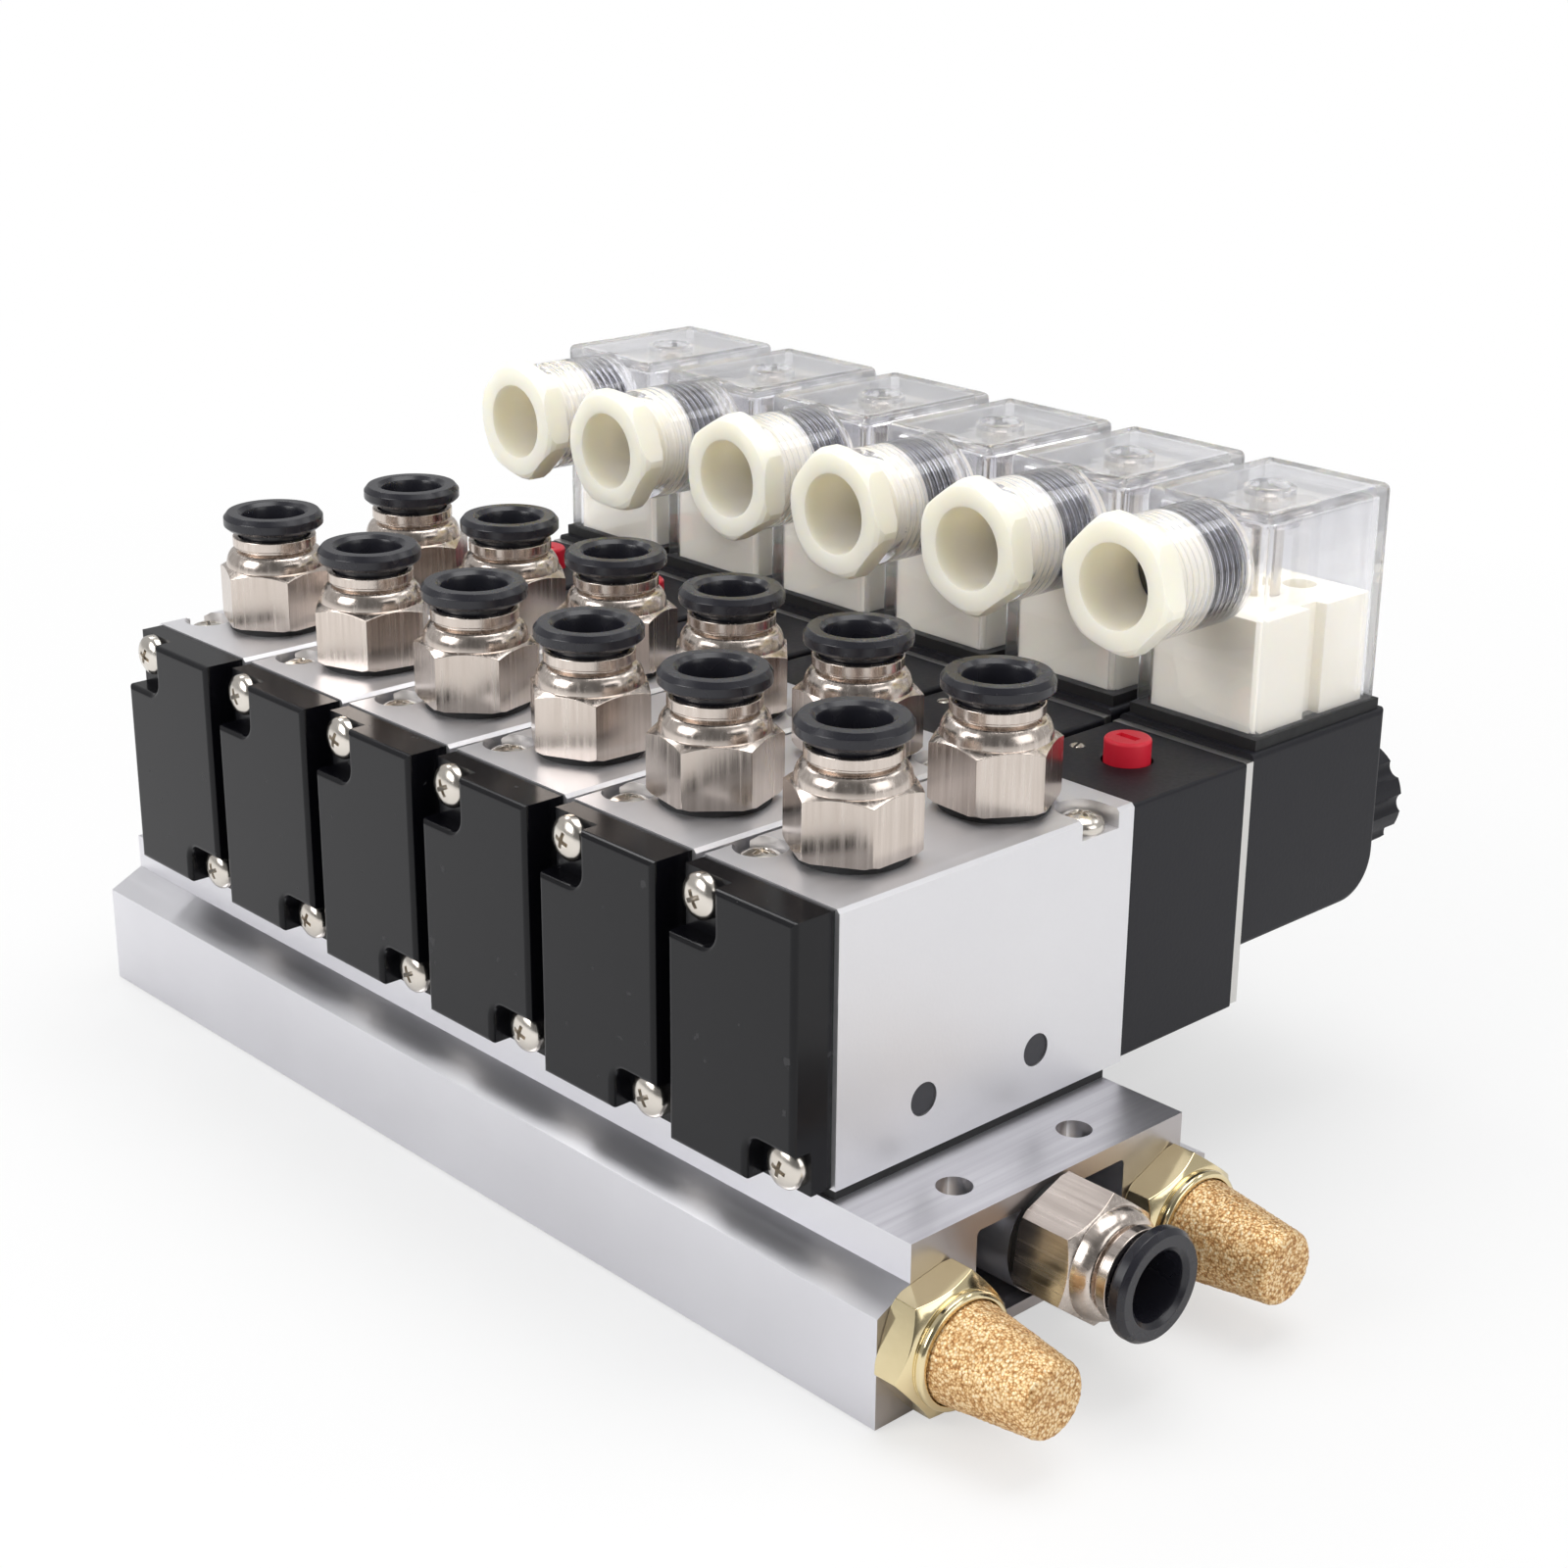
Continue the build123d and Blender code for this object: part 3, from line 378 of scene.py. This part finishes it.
# Screws: nickel-plated pan heads with a cross recess. The cross is sunk with a tapered cutter.
def cross_head(radius, height, shank_r, shank_length, key_width, key_reach, key_depth):
    crown = [(radius * math.sin(t), height * (0.35 + 0.65 * math.cos(t))) for t in (math.radians(15 * k) for k in range(7))]
    profile = crown + [(radius, 0.0), (shank_r, 0.0), (shank_r, -shank_length), (0.0, -shank_length)]
    blank = stand("screw_blank", spun(profile, 40), [Matrix()])
    cutter = bmesh.new()
    for reach, width in ((key_reach, key_width), (key_width, key_reach)):
        bar = bmesh.ops.create_cube(cutter, size=1.0)
        bmesh.ops.scale(cutter, verts=bar["verts"], vec=(2 * reach * MM, 2 * width * MM, 2 * key_depth * MM))
        low = [v for v in bar["verts"] if v.co.z < 0]
        bmesh.ops.scale(cutter, verts=low, vec=(0.35, 0.35, 1.0))
        bmesh.ops.translate(cutter, verts=bar["verts"], vec=(0, 0, height * MM))
    tool = stand("screw_cutter", cutter, [Matrix()])
    sink = blank.modifiers.new("sink", "BOOLEAN")
    sink.object, sink.operation, sink.solver, sink.use_self = tool, "DIFFERENCE", "EXACT", True
    shape = bmesh.new()
    shape.from_object(blank, bpy.context.evaluated_depsgraph_get())
    for spare in (blank, tool):
        bpy.data.objects.remove(spare)
    return shape


pan_head = cross_head(2.75, 2.0, 1.5, 4.0, 0.42, 1.75, 1.1)
plated = Finish("nickel_plated_screw", (0.70, 0.66, 0.60), metallic=1.0, roughness=0.2)
plated.set("Roughness", 0.14 + plated.grain(600.0) * 0.16)
plated.set("Base Color", plated.blend(plated.grain(250.0), (0.62, 0.56, 0.49, 1), (0.80, 0.77, 0.72, 1)))


def screw_set(name, node, template, places):
    screws = stand(name, template, places)
    soften(screws, 0.06, 35.0)
    plated.paint(screws)
    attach(screws, "island")
    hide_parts(node)


facing_front = Matrix.Rotation(math.radians(90), 4, "X")
cover_low, cover_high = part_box("cover_screws")
head_seat_y = cover_low[1] + 2.0 * MM
cover_places = []
for number, x in enumerate(stations):
    for side in (-1, 1):
        z = (cover_high[2] - 2.75 * MM) if side < 0 else (cover_low[2] + 2.75 * MM)
        spin = Matrix.Rotation(math.radians(23 * (2 * number + side)), 4, "Z")
        cover_places.append(Matrix.Translation((x + side * 7.0 * MM, head_seat_y, z)) @ facing_front @ spin)
screw_set("cover_pan_heads", "cover_screws", pan_head, cover_places)

mount_low, mount_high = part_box("mounting_screws")
mount_places = []
for number, x in enumerate(stations):
    for side, y in ((-1, mount_low[1] + 2.75 * MM), (1, mount_high[1] - 2.75 * MM)):
        spin = Matrix.Rotation(math.radians(31 * (2 * number + side)), 4, "Z")
        mount_places.append(Matrix.Translation((x + side * 8.0 * MM, y, mount_high[2] - 2.0 * MM)) @ spin)
long_shank = cross_head(2.75, 2.0, 1.5, 37.6, 0.42, 1.75, 1.1)
screw_set("mounting_pan_heads", "mounting_screws", long_shank, mount_places)

plug_low, plug_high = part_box("connector_screws")
plug_y = centre("connector_screws").y
slim_shank = cross_head(2.3, 1.6, 1.5, 31.4, 0.35, 1.45, 0.9)
slim_places = [Matrix.Translation((x, plug_y, plug_high[2] - 1.6 * MM)) for x in stations]
screw_set("connector_pan_heads", "connector_screws", slim_shank, slim_places)

# Silencers: a polished brass hexagon with a turned rim, and a cone of sintered bronze grains
# pressed into it. The grains are both relief and colour: painted shade in the gaps between them and painted highlights
# on their crowns.
silencer_turn = (10, 22)
side_y = centre("silencer_cones").y
reach_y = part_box("silencer_cones")[1][1] - 6.1 * MM
silencer_z = centre("silencer_cones").z
silencer_places = [
    Matrix.Translation((near_end, y, silencer_z)) @ along_x @ Matrix.Rotation(math.radians(degrees), 4, "Z")
    for y, degrees in zip((-reach_y, reach_y), silencer_turn)
]
silencer_across = 15.0
silencer_corner = silencer_across / 2 / math.cos(math.pi / 6)
holder_profile = [
    (3.0, -7.0), (4.85, -7.0), (4.85, 0.0), (silencer_corner - 0.6, 0.0), (silencer_corner, 0.4),
    (silencer_corner, 3.5), (7.15, 4.55), (6.75, 4.65), (6.95, 4.95), (6.95, 5.5), (6.75, 5.8), (6.45, 5.9), (6.15, 5.9), (6.15, 3.9), (3.0, 3.9),
    (3.0, -7.0),
]
holders = stand("brass_holders", milled_flats(spun(holder_profile, 72), silencer_across), silencer_places)
soften(holders, 0.12, 25.0)
polished = Finish("polished_brass", (0.78, 0.60, 0.24), metallic=1.0, roughness=0.15)
polished.set("Roughness", 0.08 + polished.grain(260.0) * 0.12)
polished.set("Base Color", polished.blend(polished.grain(60.0), (0.72, 0.58, 0.32, 1), (0.90, 0.79, 0.52, 1)))
polished.bump(polished.grain(700.0, 3.0), 0.08, 0.03)
polished.paint(holders)
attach(holders, "island")
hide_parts("silencer_holders")

cone_low, cone_high, root_r, tip_r, tip_round = 3.95, 18.8, 6.0, 4.4, 1.0
wall_rows = [cone_low + (cone_high - tip_round - cone_low) * k / 60 for k in range(61)]
cone_profile = [(root_r - (root_r - tip_r) * max(0.0, (z - 5.9) / (cone_high - 5.9)), z) for z in wall_rows]
last_r = cone_profile[-1][0]
cone_profile += [
    (last_r - tip_round + tip_round * math.cos(t), cone_high - tip_round + tip_round * math.sin(t))
    for t in (math.radians(15 * k) for k in range(1, 7))
]
cap_r = last_r - tip_round
cone_profile += [(cap_r * (1 - k / 12), cone_high) for k in range(1, 12)] + [(0.0, cone_high)]
grains = spun(cone_profile, 150)
for vertex in grains.verts:
    if vertex.co.z > 5.6 * MM:
        outward = Vector((vertex.co.x, vertex.co.y, 0.0)).normalized() if vertex.co.z < (cone_high - 0.3) * MM else Vector((0, 0, 1))
        vertex.co += outward * noise.noise(vertex.co * 2600.0) * 0.12 * MM
cones = stand("sintered_cones", grains, silencer_places)
cones.data.shade_smooth()
sintered = Finish("sintered_bronze", (0.80, 0.56, 0.30), metallic=0.6, roughness=0.5)
grain_size = 0.33
balls = {"feature": "F1"}
ball_place = {"Vector": sintered.place(), "Scale": 1000.0 / grain_size}
gap = sintered.add("ShaderNodeTexVoronoi", balls, ball_place, "Distance")
ball_tint = sintered.add("ShaderNodeTexVoronoi", balls, ball_place, "Color")
shade = sintered.add("ShaderNodeSeparateColor", {}, {"Color": ball_tint}, "Red")
# Painted shade and highlight: the colour darkens into the gaps between grains and lightens on their crowns, over a
# random tone per grain.
crown = (1.0 - gap * 1.15).clip()
painted_grain_light = (crown * 0.62 + shade * 0.42).clip()
bronze_stops = ((0.0, (0.24, 0.10, 0.03)), (1.0, (1.0, 0.90, 0.70)), (0.32, (0.56, 0.30, 0.11)), (0.60, (0.90, 0.65, 0.34)))
sintered.set("Base Color", sintered.add("ShaderNodeValToRGB", {"stops": bronze_stops}, {"Fac": painted_grain_light}))
sintered.set("Roughness", 0.52 - crown * 0.16)
sintered.bump(crown, 0.7, 0.12)
sintered.paint(cones)
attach(cones, "island")
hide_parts("silencer_cones")


# Plug housings: clear polycarbonate boxes with thick walls, a screw well in the top and a neck
# tapped right through for the gland. The thread shows through the wall as a run of ridges.
def cut_from(name, base, tools):
    blank = stand(name, base, [Matrix()])
    parts = []
    for operation, shape in tools:
        part = stand("cutter", shape, [Matrix()])
        step = blank.modifiers.new("cut", "BOOLEAN")
        step.object, step.operation, step.solver = part, operation, "EXACT"
        parts.append(part)
    result = bmesh.new()
    result.from_object(blank, bpy.context.evaluated_depsgraph_get())
    for spare in (blank, *parts):
        bpy.data.objects.remove(spare)
    bmesh.ops.remove_doubles(result, verts=result.verts, dist=1e-6)
    return result


def block(low, high, edge=0.0, segments=4, keep=lambda e: True):
    shape = bmesh.new()
    size = [(b - a) * MM for a, b in zip(low, high)]
    middle = [(b + a) / 2 * MM for a, b in zip(low, high)]
    made = bmesh.ops.create_cube(shape, size=1.0)
    bmesh.ops.scale(shape, verts=made["verts"], vec=size)
    bmesh.ops.translate(shape, verts=made["verts"], vec=middle)
    if edge:
        chosen = [e for e in shape.edges if keep(e)]
        bmesh.ops.bevel(
            shape, geom=chosen, offset=edge * MM, segments=segments, affect="EDGES", profile=0.5, material=-1
        )
    return shape


def moved(shape, place):
    bmesh.ops.transform(shape, matrix=place, verts=shape.verts)
    return shape


def thread(root_r, crest_r, pitch, start, end):
    profile, z = [(root_r, start)], start
    while z + pitch <= end + 1e-6:
        profile += [(root_r, z + 0.1 * pitch), (crest_r, z + 0.42 * pitch), (crest_r, z + 0.58 * pitch), (root_r, z + 0.9 * pitch)]
        z += pitch
    return profile + [(root_r, end)]


house_low, house_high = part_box("connector_housings")
plug_low_z, plug_top_z = house_low[2] / MM, house_high[2] / MM
neck_front_y, plug_rear_y = house_low[1] / MM, house_high[1] / MM
plug_half, plug_front_y, wall, edge_r = 9.8, 49.9, 1.5, 1.0
neck_r, bore_r, thread_pitch, thread_depth = 7.8, 6.6, 1.1, 0.55
neck_z = plug_top_z - neck_r
well_r, well_depth = 2.6, 3.4
plug_middle_y = (plug_front_y + plug_rear_y) / 2
outer = block(
    (-plug_half, plug_front_y, plug_low_z), (plug_half, plug_rear_y, plug_top_z), edge_r, 4,
    lambda e: max(v.co.z for v in e.verts) > plug_low_z * MM + 1e-4,
)
neck_place = Matrix.Translation((0.0, plug_front_y * MM, neck_z * MM)) @ facing_front
neck_length = plug_front_y - neck_front_y
neck = spun([(0.0, -0.7), (neck_r, -0.7), (neck_r, neck_length - 0.5), (neck_r - 0.15, neck_length - 0.12), (neck_r - 0.5, neck_length), (0.0, neck_length)], 72)
cavity = block((-plug_half + wall, plug_front_y + wall, plug_low_z - 1), (plug_half - wall, plug_rear_y - wall, plug_top_z - wall), 0.7, 3)
well = spun([(0.0, -1.5), (well_r + 0.75, -1.5), (well_r + 0.75, well_depth - 0.2), (0.0, well_depth - 0.2)], 40)
well_top = Matrix.Translation((0.0, plug_middle_y * MM, (plug_top_z - well_depth) * MM))
well_bore = spun([(0.0, -3.0), (1.6, -3.0), (1.6, 0.0), (well_r, 0.0), (well_r, well_depth - 0.3), (well_r + 0.4, well_depth + 0.2), (0.0, well_depth + 0.2)], 40)
bore_profile = thread(bore_r - thread_depth, bore_r + 0.05, thread_pitch, -wall - 1.0, neck_length - 0.6)
bore = spun([(0.0, -wall - 1.0)] + bore_profile + [(bore_r + 0.4, neck_length + 0.3), (0.0, neck_length + 0.3)], 72)
housing = cut_from("housing_blank", outer, [
    ("UNION", moved(neck, neck_place)),
    ("DIFFERENCE", cavity),
    ("UNION", moved(well, well_top)),
    ("DIFFERENCE", moved(well_bore, well_top)),
    ("DIFFERENCE", moved(bore, neck_place)),
])
housings = stand("clear_housings", housing, [Matrix.Translation((x, 0.0, 0.0)) for x in stations])
housings.data.shade_smooth()
housings.data.set_sharp_from_angle(angle=math.radians(28))
level = housings.modifiers.new("level_faces", "WEIGHTED_NORMAL")
level.mode, level.weight, level.keep_sharp = "FACE_AREA_WITH_ANGLE", 100, True
clear = Finish("clear_polycarbonate", (0.96, 0.96, 0.98), roughness=0.02, ior=1.49, transmission_weight=1.0)
swirl = clear.grain(60.0, 3.0)
clear.set("Roughness", 0.005 + swirl * 0.02)
clear.set("Base Color", clear.blend(swirl, (0.94, 0.94, 0.97, 1), (0.97, 0.97, 0.99, 1)))
clear.bump(swirl, 0.06, 0.10)
through = clear.tree.nodes.new("ShaderNodeBsdfTransparent")
through.inputs["Color"].default_value = (0.985, 0.985, 0.995, 1.0)
shadow = clear.add("ShaderNodeLightPath", {}, {}, "Is Shadow Ray")
skin_mix = clear.tree.nodes.new("ShaderNodeMixShader")
clear.join(skin_mix.inputs[0], 0.20 + shadow * 0.76)
clear.tree.links.new(clear.shader.outputs[0], skin_mix.inputs[1])
clear.tree.links.new(through.outputs[0], skin_mix.inputs[2])
clear.tree.links.new(skin_mix.outputs[0], clear.tree.nodes["Material Output"].inputs["Surface"])
clear.paint(housings)
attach(housings, "island")
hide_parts("connector_housings")

# Gland nuts: moulded white nylon with rounded hexagon corners, screwed in to a slightly
# different depth on each valve, which leaves some of the male thread behind the clear neck.
gland_out = (0.9, 2.5, 0.2, 2.2, 1.3, 0.2)
gland_turn = (14, 26, 2, 20, 8, 17)
gland_across, gland_length, gland_tail, gland_bore = 15.6, 3.7, 7.2, 5.2
gland_r = 8.75
gland_profile = (
    [(gland_bore, -gland_tail), (6.0, -gland_tail)]
    + thread(6.05, 6.5, thread_pitch, -gland_tail + 0.2, -0.6)
    + [(6.1, 0.0), (gland_r - 0.5, 0.0), (gland_r, 0.5), (gland_r, gland_length - 1.1), (gland_r - 0.35, gland_length - 0.45)]
    + [(gland_r - 0.9, gland_length - 0.1), (gland_r - 1.5, gland_length), (gland_bore + 0.6, gland_length)]
    + [(gland_bore + 0.15, gland_length - 0.15), (gland_bore, gland_length - 0.7), (gland_bore, -gland_tail)]
)
gland = milled_flats(spun(gland_profile, 96), gland_across)
gland_places = []
for x, out, degrees in zip(stations, gland_out, gland_turn):
    seat = Matrix.Translation((x, (neck_front_y - out) * MM, neck_z * MM))
    gland_places.append(seat @ facing_front @ Matrix.Rotation(math.radians(degrees + 30), 4, "Z"))
glands = stand("nylon_glands", gland, gland_places)
soften(glands, 0.3, 22.0, 3)
white_nylon = Finish("white_nylon", (0.92, 0.90, 0.82), roughness=0.35, subsurface_weight=0.6, subsurface_scale=0.005)
white_nylon.shader.inputs["Subsurface Radius"].default_value = (1.0, 0.82, 0.48)
white_nylon.set("Base Color", white_nylon.blend(white_nylon.grain(50.0), (0.98, 0.885, 0.725, 1), (0.99, 0.93, 0.80, 1)))
white_nylon.set("Roughness", 0.30 + white_nylon.grain(500.0) * 0.16)
white_nylon.bump(white_nylon.grain(300.0), 0.12, 0.06)
white_nylon.paint(glands)
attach(glands, "island")
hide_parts("gland_nuts")

# Sealing bushes behind the gland nuts: black rubber with turned ribs, seen through the neck. The
# crests are painted pale and metallic, a painted highlight that stands in for the glint of the clear thread in front
# of them.
bush_r, bush_hole, bush_length = 6.45, 3.0, 6.0
bush = spun(
    [(bush_hole, -gland_tail - bush_length), (5.5, -gland_tail - bush_length)]
    + thread(5.5, bush_r, thread_pitch, -gland_tail - bush_length + 0.05, -gland_tail - 0.05)
    + [(5.5, -gland_tail), (bush_hole, -gland_tail), (bush_hole, -gland_tail - bush_length)],
    64,
)
bushes = stand("ribbed_bushes", bush, gland_places)
bushes.data.shade_smooth()
bushes.data.set_sharp_from_angle(angle=math.radians(28))
wet_rubber = Finish("moulded_rubber", (0.010, 0.010, 0.012), roughness=0.15, ior=1.9)
wet_rubber.set("Roughness", 0.08 + wet_rubber.grain(400.0) * 0.12)
# Painted highlight: vertices on the rib crests are marked, and the material paints them pale and metallic.
crest = bushes.data.attributes.new("crest", "FLOAT", "POINT")
for vertex in bushes.data.vertices:
    from_axis = min(math.hypot(vertex.co.x - x, vertex.co.z - neck_z * MM) for x in stations)
    crest.data[vertex.index].value = float(from_axis > (bush_r - 0.1) * MM)
painted_glint = ((wet_rubber.add("ShaderNodeAttribute", {"attribute_name": "crest"}, {}, "Fac") - 0.6) * 2.5).clip()
wet_rubber.set("Base Color", wet_rubber.blend(painted_glint, (0.008, 0.008, 0.010, 1), (0.50, 0.50, 0.55, 1)))
wet_rubber.set("Metallic", painted_glint)
wet_rubber.paint(bushes)
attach(bushes, "island")
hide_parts("cable_grommets")

# Set screws: small bright slotted screws, flush in the top of each pilot body beside the button.
pilot_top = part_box("pilot_bodies")[1][2]
button_y = centre("override_button_1").y
set_profile = [(0.0, -0.5), (0.95, -0.5), (0.95, 0.02), (0.8, 0.12), (0.0, 0.14)]
slot_cut = block((-0.18, -1.2, -0.12), (0.18, 1.2, 1.0))
set_screw = cut_from("set_screw_blank", spun(set_profile, 28), [("DIFFERENCE", slot_cut)])
set_places = [
    Matrix.Translation((x - 7.5 * MM, button_y - 0.7 * MM, pilot_top)) @ Matrix.Rotation(math.radians(40 * n), 4, "Z")
    for n, x in enumerate(stations)
]
set_screws = stand("pilot_set_screws", set_screw, set_places)
soften(set_screws, 0.03, 30.0)
plated.paint(set_screws)
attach(set_screws, "island")

# Studio: a pale table under the island, a soft box overhead, one beyond the near end and a small
# one on the covers' side. The room above the table is dim, so bright metal has something to show.
table_shape = bmesh.new()
bmesh.ops.create_circle(table_shape, cap_ends=True, segments=64, radius=1.5)
table_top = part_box("manifold")[0][2] - 0.0002
table = stand("pale_floor", table_shape, [Matrix.Translation((0.0, 0.0, table_top))])
paper = Finish("pale_floor", (0.80, 0.80, 0.80), roughness=0.9)
paper.shader.inputs["Specular IOR Level"].default_value = 0.0
spread = paper.add("ShaderNodeVectorMath", {"operation": "LENGTH"}, {0: paper.place()}, "Value")
seen_direct = paper.add("ShaderNodeLightPath", {}, {}, "Is Camera Ray")
whiteness = (0.70 + (spread - 0.16) * 1.6).clip()
white = paper.tree.nodes.new("ShaderNodeEmission")
table_mix = paper.tree.nodes.new("ShaderNodeMixShader")
paper.join(table_mix.inputs[0], seen_direct * whiteness)
paper.tree.links.new(paper.shader.outputs[0], table_mix.inputs[1])
paper.tree.links.new(white.outputs[0], table_mix.inputs[2])
paper.tree.links.new(table_mix.outputs[0], paper.tree.nodes["Material Output"].inputs["Surface"])
paper.paint(table)

world = bpy.data.worlds.new("studio")
bpy.context.scene.world = world
world.use_nodes = True
room = Finish("room", (0.0, 0.0, 0.0))
room.tree = world.node_tree
look = room.add("ShaderNodeTexCoord", {}, {}, "Generated")
height = room.add("ShaderNodeSeparateXYZ", {}, {"Vector": look}, "Z")
toward = (0.52, -0.80, 0.12)
front_share = room.add("ShaderNodeVectorMath", {"operation": "DOT_PRODUCT"}, {0: look, 1: toward}, "Value")
dark_room = ((front_share - 0.1) * 1.6).clip()
rays = [room.add("ShaderNodeLightPath", {}, {}, name) for name in ("Is Camera Ray", "Is Transmission Ray", "Is Glossy Ray")]
seen = (rays[0] + rays[1]).clip()
mirrored = 0.50 - dark_room * 0.34
around = rays[2] * mirrored + (1.0 - rays[2]) * 0.58
glow = world.node_tree.nodes["Background"]
glow.inputs["Color"].default_value = (1.0, 1.0, 1.0, 1.0)
room.join(glow.inputs["Strength"], seen + around * (1.0 - seen))

for name, place, size, power in (
    ("overhead_box", (0.05, 0.12, 0.60), (0.40, 0.40), 1.6),
    ("end_box", (0.70, 0.15, 0.32), (0.45, 0.45), 1.1),
    ("cover_box", (-0.15, -0.65, 0.38), (0.40, 0.40), 2.6),
    ("left_strip", (-0.42, 0.02, 0.50), (0.30, 0.09), 0.5),
    ("rear_strip", (0.17, 0.50, 0.50), (0.30, 0.09), 0.22),
):
    lamp = bpy.data.lights.new(name, "AREA")
    lamp.shape, lamp.energy = "RECTANGLE", power
    lamp.size, lamp.size_y = size
    holder = bpy.data.objects.new(name, lamp)
    reach = Vector(place) - Vector((0.0, 0.0, 0.03))
    holder.matrix_world = Matrix.Translation(place) @ reach.to_track_quat("Z", "Y").to_matrix().to_4x4()
    bpy.context.collection.objects.link(holder)
